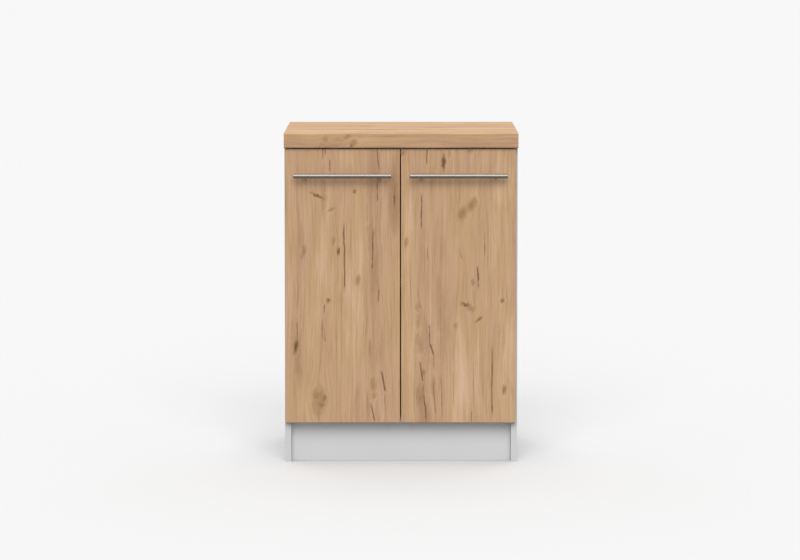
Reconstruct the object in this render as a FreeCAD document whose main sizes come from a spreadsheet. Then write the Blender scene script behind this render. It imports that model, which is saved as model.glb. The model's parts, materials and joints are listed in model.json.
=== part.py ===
import FreeCAD, Part
import os
import re
import Sketcher

# Kitchen base cabinet with two doors and a worktop, mm.
# The front faces -Y, +X is to the right and +Z is up. The origin lies on the floor,
# midway across the worktop and midway between the handles' fronts and the worktop's back.

sizes = {
    # carcass
    "cabinet_width": 600,
    "cabinet_height": 852,
    "carcass_depth": 510,
    "board": 16,
    "edge_band": 0.8,
    "bottom_height": 100,
    "top_rail_width": 100,
    "back_inset": 18,
    "back_thickness": 3,
    "back_groove_depth": 7,
    "back_groove_play": 0.2,
    "back_end_play": 0.5,
    # plinth
    "plinth_recess": 25,
    "plinth_floor_gap": 0.5,
    "plinth_top_gap": 1.5,
    "plinth_end_play": 0.6,
    "bracket_leg": 30,
    "bracket_thickness": 2,
    "bracket_height": 40,
    "bracket_z": 30,
    "bracket_screw_offset": 19,
    # shelf and its pins, in rows of spare holes
    "shelf_z": 452,
    "shelf_setback": 30,
    "shelf_end_play": 1,
    "shelf_back_play": 2,
    "pin_hole_radius": 2.5,
    "pin_hole_depth": 10,
    "pin_pitch": 32,
    "pin_row_setback": 37,
    "pin_row_back_margin": 60,
    "pin_stem_depth": 9,
    "pin_ledge": 8,
    "pin_ledge_thickness": 2,
    "pin_ledge_half_width": 4,
    "pin_play": 0.03,
    # worktop
    "worktop_depth": 600,
    "worktop_thickness": 38,
    "worktop_side_overhang": 1,
    "worktop_front_overhang": 10,
    "worktop_front_radius": 3.5,
    "worktop_laminate": 0.8,
    "worktop_laminate_turn": 20,
    "worktop_end_band": 1,
    # doors
    "door_thickness": 18,
    "door_gap": 2.8,
    "door_top_gap": 3,
    "door_bottom_z": 104.5,
    "door_side_reveal": 3,
    "door_middle_gap": 3,
    "door_shift": -1.5,
    "bumper_radius": 4,
    "bumper_thickness": 2.5,
    "bumper_inset": 22,
    "bumper_edge_distance": 7,
    # handles
    "handle_length": 252,
    "handle_radius": 6,
    "handle_chamfer": 0.8,
    "handle_stand_off": 26,
    "handle_drop": 68,
    "handle_post_spacing": 192,
    "handle_post_radius": 4,
    "handle_seat_play": 0.02,
    "handle_screw_reach": 12,
    # screws and dowels
    "hole_play": 0.05,
    "joint_screw_radius": 3.5,
    "joint_screw_head_radius": 5,
    "joint_screw_head_height": 4,
    "joint_screw_length": 50,
    "joint_cap_thickness": 1,
    "joint_inset": 60,
    "rail_joint_inset": 30,
    "dowel_radius": 4,
    "dowel_depth_side": 11,
    "dowel_depth_end": 18,
    "dowel_spacing": 40,
    "dowel_end_play": 1,
    "board_screw_radius": 2,
    "board_screw_head_radius": 4,
    "board_screw_head_height": 2.4,
    "board_screw_depth": 12,
    "worktop_screw_depth": 20,
    "worktop_screw_inset": 80,
    "back_screw_radius": 1.5,
    "back_screw_head_radius": 3,
    "back_screw_head_height": 1.8,
    "back_screw_depth": 14,
    "back_screw_spacing": 220,
    "recess_half_length": 1.9,
    "recess_half_width": 0.45,
    "recess_depth": 1.3,
    # hinges, four of one kind; x runs inwards from the side panel's inner face,
    # y runs back from the door's inner face
    "hinge_inset": 100,
    "cup_x": 8.5,
    "cup_radius": 17.5,
    "cup_depth": 12.8,
    "cup_bore_play": 0.1,
    "cup_bore_end_play": 0.4,
    "cup_lip": 1.1,
    "cup_lip_thickness": 0.5,
    "cup_room_half_height": 8.6,
    "cup_room_near": 14.6,
    "cup_room_far": 14.3,
    "cup_slope_width": 1.6,
    "cup_slope_depth": 1.5,
    "cup_slope_half_height": 6.8,
    "cup_floor": 1.2,
    "cup_wing_thickness": 1.2,
    "cup_wing_start": 11,
    "cup_wing_end": 30,
    "cup_wing_near": 1,
    "cup_wing_far": 12,
    "cup_wing_corner": 4,
    "cup_screw_x": 6,
    "cup_screw_z": 24,
    "cup_pin_end": 12.4,
    "link_pin_radius": 1.25,
    "link_pin_press": 0.02,
    "link_pin_play": 0.05,
    "inner_link_half_height": 3.6,
    "outer_link_half_height": 6.3,
    "outer_link_room_half": 4,
    "outer_link_room_end": 6,
    "link_half_thickness": 1.2,
    "link_eye_radius": 2.4,
    "inner_arm_pivot_x": 19.5,
    "inner_arm_pivot_y": -5.05,
    "inner_cup_pivot_x": -2.7,
    "inner_cup_pivot_y": -8.4,
    "inner_knee_x": 7.5,
    "inner_knee_y": -9.9,
    "outer_arm_pivot_x": 27,
    "outer_arm_pivot_y": 4.6,
    "outer_cup_pivot_x": -1.35,
    "outer_cup_pivot_y": -3,
    "outer_dip_x": 4,
    "outer_dip_y": -2.3,
    "outer_rise_x": 17,
    "outer_rise_y": 3.5,
    "outer_slot_reach": 1.75,
    "outer_slot_play": 0.42,
    "arm_half_height": 8,
    "arm_sheet": 1.4,
    "arm_nose_radius": 2.8,
    "arm_tail_y": 66,
    "arm_crank_y": 31,
    "arm_shoulder_y": 16,
    "arm_web_front_y": 10.2,
    "arm_cheek_base_x": 3.5,
    "arm_throat_x": 15,
    "arm_throat_y": 8,
    "plate_setback": 37,
    "plate_ridge_height": 8.2,
    "plate_ridge_half_height": 6.3,
    "plate_ridge_front": 10,
    "plate_ridge_back": 26,
    "plate_wing_thickness": 2,
    "plate_wing_half_width": 7,
    "plate_wing_end": 25,
    "plate_screw_z": 16,
    "plate_screw_radius": 2.5,
    "plate_screw_head_radius": 4.2,
    "plate_screw_head_height": 1.6,
    "plate_screw_depth": 11,
    "arm_screw_setback": 18,
    "arm_screw_radius": 2.5,
    "arm_screw_head_radius": 4,
    "arm_screw_head_height": 2.2,
    "arm_screw_depth": 6,
    "adjuster_advance": 4,
    "adjuster_radius": 3,
    "adjuster_height": 4.5,
    "spring_sheet": 0.8,
    "spring_half_height": 6,
    "spring_seat_play": 0.3,
    "cut_overrun": 5,
}

# Places worked out from the sizes.
places = {
    "half_width": "cabinet_width / 2",
    "inner_x": "half_width - board",
    "side_top_z": "cabinet_height - worktop_thickness",
    "handle_reach": "handle_stand_off + handle_radius",
    "overall_depth": "worktop_depth + handle_reach - worktop_front_overhang",
    "worktop_front_y": "handle_reach - worktop_front_overhang - overall_depth / 2",
    "worktop_back_y": "worktop_front_y + worktop_depth",
    "worktop_half_width": "half_width + worktop_side_overhang",
    "worktop_core_half_width": "worktop_half_width - worktop_end_band",
    "door_front_y": "worktop_front_y + worktop_front_overhang",
    "door_back_y": "door_front_y + door_thickness",
    "carcass_front_y": "door_back_y + door_gap",
    "core_front_y": "carcass_front_y + edge_band",
    "carcass_back_y": "carcass_front_y + carcass_depth",
    "back_panel_back_y": "carcass_back_y - back_inset",
    "back_panel_front_y": "back_panel_back_y - back_thickness",
    "bottom_top_z": "bottom_height + board",
    "rail_z": "side_top_z - board",
    "rear_rail_front_y": "back_panel_front_y - top_rail_width",
    "plinth_front_y": "carcass_front_y + plinth_recess",
    "plinth_back_y": "plinth_front_y + board",
    "bracket_screw_z": "bracket_z + bracket_height / 2",
    "bracket_screw_x": "inner_x - bracket_screw_offset",
    "bracket_screw_y": "plinth_back_y + bracket_screw_offset",
    "shelf_front_y": "core_front_y + shelf_setback",
    "shelf_back_y": "back_panel_front_y - shelf_back_play",
    "pin_z": "shelf_z - pin_ledge_thickness - pin_hole_radius",
    "pin_front_y": "carcass_front_y + pin_row_setback",
    "pin_rear_y": "back_panel_front_y - pin_row_back_margin",
    "joint_bottom_z": "bottom_height + board / 2",
    "joint_rail_z": "side_top_z - board / 2",
    "joint_front_y": "core_front_y + joint_inset",
    "joint_back_y": "back_panel_front_y - joint_inset",
    "rail_front_screw_y": "core_front_y + rail_joint_inset",
    "rail_back_screw_y": "back_panel_front_y - rail_joint_inset",
    "worktop_screw_x": "inner_x - worktop_screw_inset",
    "worktop_screw_front_y": "core_front_y + top_rail_width / 2",
    "worktop_screw_back_y": "rear_rail_front_y + top_rail_width / 2",
    "door_top_z": "side_top_z - door_top_gap",
    "door_width": "half_width - door_side_reveal - door_middle_gap / 2",
    "door_middle_x": "(door_width + door_middle_gap) / 2",
    "handle_y": "door_front_y - handle_stand_off",
    "handle_z": "door_top_z - handle_drop",
    "hinge_top_z": "door_top_z - hinge_inset",
    "hinge_low_z": "door_bottom_z + hinge_inset",
    "hinge_middle_z": "(hinge_top_z + hinge_low_z) / 2",
    "cup_screw_at_x": "cup_x + cup_screw_x",
    "pin_hole": "link_pin_radius + link_pin_press",
    "eye_hole": "link_pin_radius + link_pin_play",
    "slot_hole": "link_pin_radius + outer_slot_play",
    "outer_run_x": "outer_arm_pivot_x - outer_cup_pivot_x",
    "outer_run_y": "outer_arm_pivot_y - outer_cup_pivot_y",
    "outer_length": "sqrt(outer_run_x * outer_run_x + outer_run_y * outer_run_y)",
    "slot_dx": "outer_slot_reach * outer_run_x / outer_length",
    "slot_dy": "outer_slot_reach * outer_run_y / outer_length",
    "arm_inner_half": "arm_half_height - arm_sheet",
    "arm_low_x": "plate_ridge_height + arm_sheet",
    "arm_high_x": "outer_arm_pivot_x + arm_nose_radius",
    "plate_y": "door_gap + plate_setback",
    "plate_front_y": "plate_y - plate_ridge_front",
    "plate_back_y": "plate_y + plate_ridge_back",
    "arm_screw_y": "plate_y + arm_screw_setback",
    "adjuster_y": "plate_y - adjuster_advance",
}

doc = FreeCAD.newDocument("kitchen_base_cabinet")
sheetOf = {}


def fill(label, rows):
    sheet = doc.addObject("Spreadsheet::Sheet", label)
    for row, (alias, content) in enumerate(rows, start=1):
        sheet.set("A%d" % row, alias)
        sheet.set("B%d" % row, content)
        sheet.setAlias("B%d" % row, alias)
        sheetOf[alias] = label
    doc.recompute()
    return sheet


def bind(text):
    """An expression in plain names, with each name's sheet put before it."""
    return re.sub(r"[a-z][a-z_0-9]*", lambda word: ".".join(filter(None, (
        sheetOf.get(word.group()), word.group()))), text)


sizeSheet = fill("Sizes", [(alias, str(value)) for alias, value in sizes.items()])
for alias in places:
    sheetOf[alias] = "Places"
placeSheet = fill("Places", [(alias, "=" + bind(text).replace("Places.", ""))
                             for alias, text in places.items()])


def number(alias):
    return (sizeSheet if alias in sizes else placeSheet).get(alias)


def put(item, x="0", y="0", z="0"):
    for axis, text in zip("xyz", (x, y, z)):
        item.setExpression("Placement.Base." + axis, bind(text))
    return item


# Plain blocks and rods between two planes

def block(name, x, y, z):
    box = doc.addObject("Part::Box", name)
    for side, (low, high) in zip(("Length", "Width", "Height"), (x, y, z)):
        box.setExpression(side, bind("(%s) - (%s)" % (high, low)))
    return put(box, x[0], y[0], z[0])


towards = {
    "x": FreeCAD.Rotation(FreeCAD.Vector(0, 0, 1), FreeCAD.Vector(1, 0, 0)),
    "y": FreeCAD.Rotation(FreeCAD.Vector(0, 0, 1), FreeCAD.Vector(0, 1, 0)),
    "z": FreeCAD.Rotation(),
}


def rod(name, radius, axis, across, low, high):
    item = doc.addObject("Part::Cylinder", name)
    item.setExpression("Radius", bind(radius))
    item.setExpression("Height", bind("(%s) - (%s)" % (high, low)))
    item.Placement.Rotation = towards[axis]
    at = dict(zip([letter for letter in "xyz" if letter != axis], across))
    at[axis] = low
    return put(item, at["x"], at["y"], at["z"])


def group(name, items):
    item = doc.addObject("Part::Compound", name)
    item.Links = items
    return item


def cut(name, base, tools):
    item = doc.addObject("Part::Cut", name)
    item.Base = base
    item.Tool = tools[0] if len(tools) == 1 else group(name + "_tools", tools)
    return item


def fuse(name, items):
    item = doc.addObject("Part::MultiFuse", name)
    item.Shapes = items
    return item


def mirror(name, source, axis, plane="0"):
    item = doc.addObject("Part::Mirroring", name)
    item.Source = source
    item.Normal = FreeCAD.Vector(*[float(letter == axis) for letter in "xyz"])
    item.setExpression("Base." + axis, bind(plane))
    return item


def both(name, source, axis="z", plane="hinge_middle_z"):
    """A piece and its twin across a plane, as one node of two solids."""
    return group(name, [source, mirror(name + "_twin", source, axis, plane)])


# Bodies made of sketches

def body(name, x="0", y="0", z="0"):
    item = doc.addObject("PartDesign::Body", name)
    return put(item, x, y, z)


def sketch(owner, plane, offset="0", loops=(), circles=()):
    item = owner.newObject("Sketcher::SketchObject", owner.Name + "_sketch")
    support = [face for face in owner.Origin.OriginFeatures if face.Role == plane + "_Plane"]
    item.AttachmentSupport = [(support[0], "")]
    item.MapMode = "FlatFace"
    item.setExpression("AttachmentOffset.Base.z", bind(offset))

    def fix(kind, *where, text):
        at = item.addConstraint(Sketcher.Constraint(kind, *where, 1.0))
        item.setExpression("Constraints[%d]" % at, bind(text))

    for points in loops:
        first = item.GeometryCount
        count = len(points)
        corner = [FreeCAD.Vector(k, k * k, 0) for k in range(count)]
        for k in range(count):
            item.addGeometry(Part.LineSegment(corner[k], corner[(k + 1) % count]))
        for k in range(count):
            item.addConstraint(Sketcher.Constraint(
                "Coincident", first + k, 2, first + (k + 1) % count, 1))
        for k, (across, up) in enumerate(points):
            fix("DistanceX", -1, 1, first + k, 1, text=across)
            fix("DistanceY", -1, 1, first + k, 1, text=up)
    for across, up, radius in circles:
        at = item.addGeometry(Part.Circle(FreeCAD.Vector(), FreeCAD.Vector(0, 0, 1), 1))
        fix("DistanceX", -1, 1, at, 3, text=across)
        fix("DistanceY", -1, 1, at, 3, text=up)
        fix("Radius", at, text=radius)
    return item


def rectangle(x0, x1, y0, y1):
    return [(x0, y0), (x1, y0), (x1, y1), (x0, y1)]


def pad(owner, profile, length, middle=False, back=False):
    item = owner.newObject("PartDesign::Pad", owner.Name + "_pad")
    item.Profile = profile
    item.setExpression("Length", bind(length))
    item.Midplane = middle
    item.Reversed = back
    doc.recompute()
    return item


def pocket(owner, profile, length, middle=False, back=False):
    before = owner.Shape.Volume
    item = owner.newObject("PartDesign::Pocket", owner.Name + "_pocket")
    item.Profile = profile
    item.setExpression("Length", bind(length))
    item.Midplane = middle
    item.Reversed = back
    doc.recompute()
    if not owner.Shape.Volume < before:
        raise ValueError(item.Name + " cuts nothing")
    return item


samePlace = 1e-6


def runsAlong(edge, axis):
    ends = [vertex.Point for vertex in edge.Vertexes]
    others = [letter for letter in "xyz" if letter != axis]
    return all(abs(getattr(ends[0], letter) - getattr(ends[-1], letter)) < samePlace for letter in others)


def dress(owner, kind, size, axis, chosen):
    """A fillet or chamfer on the edges along an axis whose ends pass a test."""
    tip = owner.Tip
    names = ["Edge%d" % k for k, edge in enumerate(tip.Shape.Edges, start=1)
             if runsAlong(edge, axis) and all(chosen(vertex.Point) for vertex in edge.Vertexes)]
    item = owner.newObject("PartDesign::" + kind, owner.Name + "_" + kind.lower())
    item.Base = (tip, names)
    item.setExpression("Radius" if kind == "Fillet" else "Size", bind(size))
    doc.recompute()
    return item


nodes = []


def node(label, item):
    item.Label = label
    nodes.append(item)
    return item


# A screw's head stands before its seat, and its shank runs from the seat to its tip.
# way is 1 where the tip lies further along the axis than the seat.

screwKinds = {
    kind: tuple(kind + end for end in ("_radius", "_head_radius", "_head_height"))
    for kind in ("joint_screw", "board_screw", "back_screw", "plate_screw", "arm_screw")
}


def crossRecess(name, axis, across, low, high):
    """Two crossed slots about an axis."""
    letters = [letter for letter in "xyz" if letter != axis]
    slots = []
    for longWay in letters:
        span = {axis: (low, high)}
        for letter, at in zip(letters, across):
            half = "recess_half_length" if letter == longWay else "recess_half_width"
            span[letter] = (at + " - " + half, at + " + " + half)
        slots.append(block("%s_along_%s" % (name, longWay), span["x"], span["y"], span["z"]))
    return fuse(name, slots)


def screw(name, kind, axis, across, seat, depth, way):
    radius, headRadius, headHeight = screwKinds[kind]
    tip = "%s + (%s) * %d" % (seat, depth, way)
    top = "%s - (%s) * %d" % (seat, headHeight, way)
    recess = "%s + recess_depth * %d" % (top, way)
    ends = [(seat, tip), (top, seat), (top, recess)]
    runs = [end if way > 0 else end[::-1] for end in ends]
    shank = rod(name + "_shank", radius, axis, across, *runs[0])
    head = rod(name + "_head", headRadius, axis, across, *runs[1])
    drive = crossRecess(name + "_drive", axis, across, *runs[2])
    return cut(name, fuse(name + "_solid", [shank, head]), [drive])


def bore(name, radius, axis, across, start, depth, way):
    """A hole from start, with the overrun before its mouth."""
    mouth = "%s - cut_overrun * %d" % (start, way)
    end = "%s + (%s) * %d" % (start, depth, way)
    low, high = (mouth, end) if way > 0 else (end, mouth)
    return rod(name, radius, axis, across, low, high)


def eachSide(name, make):
    """One piece made at the left and its twin at the right."""
    left = make("left_" + name)
    return [left, mirror("right_" + name + "_twin", left, "x")]


# Side panels, down to the floor

boardJoints = [
    ("bottom_front", "joint_front_y", "joint_bottom_z", 1),
    ("bottom_back", "joint_back_y", "joint_bottom_z", -1),
    ("front_rail", "rail_front_screw_y", "joint_rail_z", 1),
    ("rear_rail", "rail_back_screw_y", "joint_rail_z", -1),
]
pinSteps = (-2, -1, 0, 1, 2)


def sidePanel():
    panel = body("left_side_panel", "-half_width", "0", "0")
    outline = sketch(panel, "YZ", loops=[rectangle("core_front_y", "carcass_back_y", "0", "side_top_z")])
    pad(panel, outline, "board")
    groove = sketch(panel, "YZ", "board", loops=[rectangle(
        "back_panel_front_y - back_groove_play", "back_panel_back_y + back_groove_play",
        "bottom_height", "side_top_z + cut_overrun")])
    pocket(panel, groove, "back_groove_depth")
    pins = [(y, "pin_z + pin_pitch * (%d)" % step, "pin_hole_radius")
            for y in ("pin_front_y", "pin_rear_y") for step in pinSteps]
    pocket(panel, sketch(panel, "YZ", "board", circles=pins), "pin_hole_depth")
    dowels = [(dowelAt(y, way), z, "dowel_radius + hole_play") for _, y, z, way in boardJoints]
    pocket(panel, sketch(panel, "YZ", "board", circles=dowels), "dowel_depth_side")
    shanks = [(y, z, "joint_screw_radius + hole_play") for _, y, z, _ in boardJoints]
    pocket(panel, sketch(panel, "YZ", "board", circles=shanks), "board")
    heads = [(y, z, "joint_screw_head_radius + hole_play") for _, y, z, _ in boardJoints]
    pocket(panel, sketch(panel, "YZ", circles=heads),
           "joint_cap_thickness + joint_screw_head_height", back=True)
    plateScrews = [("door_back_y + plate_y", z + " + plate_screw_z * (%d)" % way,
                    "plate_screw_radius + hole_play")
                   for z in ("hinge_top_z", "hinge_low_z") for way in (-1, 1)]
    pocket(panel, sketch(panel, "YZ", "board", circles=plateScrews), "plate_screw_depth + dowel_end_play")
    bracketScrew = [("bracket_screw_y", "bracket_screw_z", "board_screw_radius + hole_play")]
    pocket(panel, sketch(panel, "YZ", "board", circles=bracketScrew), "board_screw_depth + dowel_end_play")
    return panel


def dowelAt(y, way):
    return "%s + dowel_spacing * (%d)" % (y, way)


leftSide = node("left_side_panel", sidePanel())
node("right_side_panel", mirror("right_side_panel", leftSide, "x"))
leftBand = node("left_side_edge_band", block(
    "left_side_edge_band", ("-half_width", "-inner_x"), ("carcass_front_y", "core_front_y"), ("0", "side_top_z")))
node("right_side_edge_band", mirror("right_side_edge_band", leftBand, "x"))


# Boards between the side panels

def boardEnds(name, joints):
    """Holes in a board's two ends for its screws and dowels."""
    found = []
    for tag, y, z, way in joints:
        found += eachSide(name + "_screw_hole_" + tag, lambda title: bore(
            title, "joint_screw_radius + hole_play", "x", (y, z), "-inner_x",
            "joint_cap_thickness + joint_screw_head_height + joint_screw_length - board + dowel_end_play", 1))
        found += eachSide(name + "_dowel_hole_" + tag, lambda title: bore(
            title, "dowel_radius + hole_play", "x", (dowelAt(y, way), z), "-inner_x",
            "dowel_depth_end", 1))
    return found


backScrewSteps = (-1, 0, 1)


def backScrewHoles(name, z):
    return [bore("%s_back_hole_%d" % (name, step + 1), "back_screw_radius + hole_play", "y",
                 ("back_screw_spacing * (%d)" % step, z), "back_panel_front_y",
                 "back_screw_depth - back_thickness + dowel_end_play", -1) for step in backScrewSteps]


across = ("-inner_x", "inner_x")
bottomBlank = block("bottom_blank", across, ("core_front_y", "back_panel_front_y"),
                    ("bottom_height", "bottom_top_z"))
node("bottom_panel", cut("bottom_panel", bottomBlank,
                         boardEnds("bottom", boardJoints[:2]) + backScrewHoles("bottom", "joint_bottom_z")))
node("bottom_edge_band", block(
    "bottom_edge_band", across, ("carcass_front_y", "core_front_y"), ("bottom_height", "bottom_top_z")))

worktopScrews = [(x, y) for y in ("worktop_screw_front_y", "worktop_screw_back_y")
                 for x in ("-worktop_screw_x", "worktop_screw_x")]


def worktopHoles(name, places, start, depth):
    return [bore("%s_worktop_hole_%d" % (name, k), "board_screw_radius + hole_play", "z", at, start, depth, 1)
            for k, at in enumerate(places)]


frontRailBlank = block("front_rail_blank", across, ("core_front_y", "core_front_y + top_rail_width"),
                       ("rail_z", "side_top_z"))
node("front_top_rail", cut("front_top_rail", frontRailBlank, boardEnds("front_rail", boardJoints[2:3])
                           + worktopHoles("front_rail", worktopScrews[:2], "rail_z", "board + cut_overrun")))
node("front_rail_edge_band", block(
    "front_rail_edge_band", across, ("carcass_front_y", "core_front_y"), ("rail_z", "side_top_z")))
rearRailBlank = block("rear_rail_blank", across, ("rear_rail_front_y", "back_panel_front_y"),
                      ("rail_z", "side_top_z"))
node("rear_top_rail", cut("rear_top_rail", rearRailBlank, boardEnds("rear_rail", boardJoints[3:])
                          + worktopHoles("rear_rail", worktopScrews[2:], "rail_z", "board + cut_overrun")
                          + backScrewHoles("rear_rail", "joint_rail_z")))


# Screws, caps and dowels of those joints

jointScrews, caps, dowels = [], [], []
for tag, y, z, way in boardJoints:
    jointScrews += eachSide("joint_screw_" + tag, lambda title: screw(
        title, "joint_screw", "x", (y, z), "-half_width + joint_cap_thickness + joint_screw_head_height",
        "joint_screw_length - joint_screw_head_height", 1))
    caps += eachSide("screw_cap_" + tag, lambda title: rod(
        title, "joint_screw_head_radius", "x", (y, z), "-half_width", "-half_width + joint_cap_thickness"))
    dowels += eachSide("dowel_" + tag, lambda title: rod(
        title, "dowel_radius", "x", (dowelAt(y, way), z), "-inner_x - dowel_depth_side + dowel_end_play",
        "-inner_x + dowel_depth_end - dowel_end_play"))
node("joint_screws", group("joint_screws", jointScrews))
node("joint_screw_caps", group("joint_screw_caps", caps))
node("dowels", group("dowels", dowels))


# Back panel in its grooves, screwed to the bottom panel and the rear rail

backHalf = "inner_x + back_groove_depth - back_end_play"
backBlank = block("back_blank", ("-(%s)" % backHalf, backHalf), ("back_panel_front_y", "back_panel_back_y"),
                  ("bottom_height", "side_top_z"))
backRows = [("low", "joint_bottom_z"), ("high", "joint_rail_z")]
backPlaces = [("%s_%d" % (tag, step + 1), ("back_screw_spacing * (%d)" % step, z))
              for tag, z in backRows for step in backScrewSteps]
node("back_panel", cut("back_panel", backBlank, [
    bore("back_panel_hole_" + tag, "back_screw_radius + hole_play", "y", at, "back_panel_back_y",
         "back_thickness + cut_overrun", -1) for tag, at in backPlaces]))
node("back_panel_screws", group("back_panel_screws", [
    screw("back_screw_" + tag, "back_screw", "y", at, "back_panel_back_y", "back_screw_depth", -1)
    for tag, at in backPlaces]))


# Shelf on four pins

shelfEnd = "inner_x - shelf_end_play"
node("shelf", block("shelf", ("-(%s)" % shelfEnd, shelfEnd), ("shelf_front_y", "shelf_back_y"),
                    ("shelf_z", "shelf_z + board")))
node("shelf_edge_band", block("shelf_edge_band", ("-(%s)" % shelfEnd, shelfEnd),
                              ("shelf_front_y - edge_band", "shelf_front_y"), ("shelf_z", "shelf_z + board")))


def shelfPin(title, y):
    stem = rod(title + "_stem", "pin_hole_radius - pin_play", "x", (y, "pin_z"),
               "-inner_x - pin_stem_depth", "-inner_x + pin_ledge")
    ledge = block(title + "_ledge", ("-inner_x", "-inner_x + pin_ledge"),
                  (y + " - pin_ledge_half_width", y + " + pin_ledge_half_width"),
                  ("shelf_z - pin_ledge_thickness", "shelf_z"))
    web = block(title + "_web", ("-inner_x", "-inner_x + pin_ledge / 2"),
                (y + " - pin_hole_radius / 2", y + " + pin_hole_radius / 2"),
                ("pin_z", "shelf_z - pin_ledge_thickness / 2"))
    return fuse(title, [stem, ledge, web])


node("shelf_pins", group("shelf_pins", eachSide("shelf_pin_front", lambda title: shelfPin(title, "pin_front_y"))
                         + eachSide("shelf_pin_rear", lambda title: shelfPin(title, "pin_rear_y"))))


# Plinth board and its two brackets

plinthEnd = "inner_x - plinth_end_play"
plinthBlank = block("plinth_blank", ("-(%s)" % plinthEnd, plinthEnd), ("plinth_front_y", "plinth_back_y"),
                    ("plinth_floor_gap", "bottom_height - plinth_top_gap"))
node("plinth_board", cut("plinth_board", plinthBlank, eachSide("plinth_hole", lambda title: bore(
    title, "board_screw_radius + hole_play", "y", ("-bracket_screw_x", "bracket_screw_z"), "plinth_back_y",
    "board_screw_depth + dowel_end_play", -1))))


def plinthBracket():
    angle = body("left_plinth_bracket", "-inner_x", "plinth_back_y", "bracket_z")
    legs = [("0", "0"), ("bracket_leg", "0"), ("bracket_leg", "bracket_thickness"),
            ("bracket_thickness", "bracket_thickness"), ("bracket_thickness", "bracket_leg"), ("0", "bracket_leg")]
    pad(angle, sketch(angle, "XY", loops=[legs]), "bracket_height")
    hole = "board_screw_radius + hole_play"
    middle = "bracket_height / 2"
    pocket(angle, sketch(angle, "YZ", "bracket_thickness",
                         circles=[("bracket_screw_offset", middle, hole)]), "bracket_thickness")
    pocket(angle, sketch(angle, "XZ", circles=[("bracket_screw_offset", middle, hole)]),
           "bracket_thickness")
    return angle


leftBracket = plinthBracket()
node("plinth_brackets", group("plinth_brackets", [leftBracket, mirror("right_plinth_bracket", leftBracket, "x")]))
node("plinth_bracket_screws", group("plinth_bracket_screws", eachSide(
    "bracket_side_screw", lambda title: screw(
        title, "board_screw", "x", ("bracket_screw_y", "bracket_screw_z"), "-inner_x + bracket_thickness",
        "board_screw_depth + bracket_thickness", -1)) + eachSide(
    "bracket_plinth_screw", lambda title: screw(
        title, "board_screw", "y", ("-bracket_screw_x", "bracket_screw_z"), "plinth_back_y + bracket_thickness",
        "board_screw_depth + bracket_thickness", -1))))


# Worktop: a board core, a laminate bent round its front edge and a little way under it,
# and a band at each end

worktopOutline = rectangle("worktop_front_y", "worktop_back_y", "side_top_z", "cabinet_height")
coreOutline = [
    ("worktop_front_y + worktop_laminate", "side_top_z + worktop_laminate"),
    ("worktop_front_y + worktop_laminate_turn", "side_top_z + worktop_laminate"),
    ("worktop_front_y + worktop_laminate_turn", "side_top_z"),
    ("worktop_back_y", "side_top_z"),
    ("worktop_back_y", "cabinet_height - worktop_laminate"),
    ("worktop_front_y + worktop_laminate", "cabinet_height - worktop_laminate"),
]


def worktopProfile(name, start, width, outline, radius):
    """An outline run along x from start, its two front edges rounded."""
    slab = body(name, start, "0", "0")
    pad(slab, sketch(slab, "YZ", loops=[outline]), width)
    front = number("worktop_front_y") + number("worktop_laminate_turn") / 2
    dress(slab, "Fillet", radius, "x", lambda point: point.y < front)
    return slab


worktopLength = "2 * worktop_core_half_width"
worktopSkin = worktopProfile("worktop_skin_outline", "-worktop_core_half_width", worktopLength,
                             worktopOutline, "worktop_front_radius")
worktopBlank = worktopProfile("worktop_core_blank", "-worktop_core_half_width", worktopLength,
                              coreOutline, "worktop_front_radius - worktop_laminate")
node("worktop_core", cut("worktop_core", worktopBlank, worktopHoles(
    "core", worktopScrews, "side_top_z", "worktop_screw_depth + dowel_end_play")))
node("worktop_laminate", cut("worktop_laminate", worktopSkin, [worktopBlank]))
leftEnd = node("left_worktop_end_band", worktopProfile(
    "left_worktop_end_band", "-worktop_half_width", "worktop_end_band", worktopOutline,
    "worktop_front_radius"))
node("right_worktop_end_band", mirror("right_worktop_end_band", leftEnd, "x"))
node("worktop_screws", group("worktop_screws", [
    screw("worktop_screw_%d" % k, "board_screw", "z", at, "rail_z", "board + worktop_screw_depth", 1)
    for k, at in enumerate(worktopScrews)]))


# Concealed hinges: the pieces of the upper left hinge are drawn, the others are its twins

def hingeBody(name):
    return body(name, "-inner_x", "door_back_y", "hinge_top_z")


def hingePlate():
    plate = hingeBody("hinge_plate")
    wing = rectangle("plate_y - plate_wing_half_width", "plate_y + plate_wing_half_width",
                     "-plate_wing_end", "plate_wing_end")
    pad(plate, sketch(plate, "YZ", loops=[wing]), "plate_wing_thickness")
    end = number("plate_wing_end") / 2
    dress(plate, "Fillet", "plate_wing_half_width / 2", "x", lambda point: abs(point.z) > end)
    ridge = rectangle("plate_front_y", "plate_back_y", "-plate_ridge_half_height", "plate_ridge_half_height")
    pad(plate, sketch(plate, "YZ", loops=[ridge]), "plate_ridge_height")
    screwHoles = [("plate_y", "plate_screw_z * (%d)" % way, "plate_screw_radius + hole_play") for way in (-1, 1)]
    pocket(plate, sketch(plate, "YZ", "plate_wing_thickness", circles=screwHoles), "plate_wing_thickness")
    clampHole = [("arm_screw_y", "0", "arm_screw_radius + hole_play")]
    pocket(plate, sketch(plate, "YZ", "plate_ridge_height", circles=clampHole), "arm_screw_depth + hole_play")
    return plate


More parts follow.
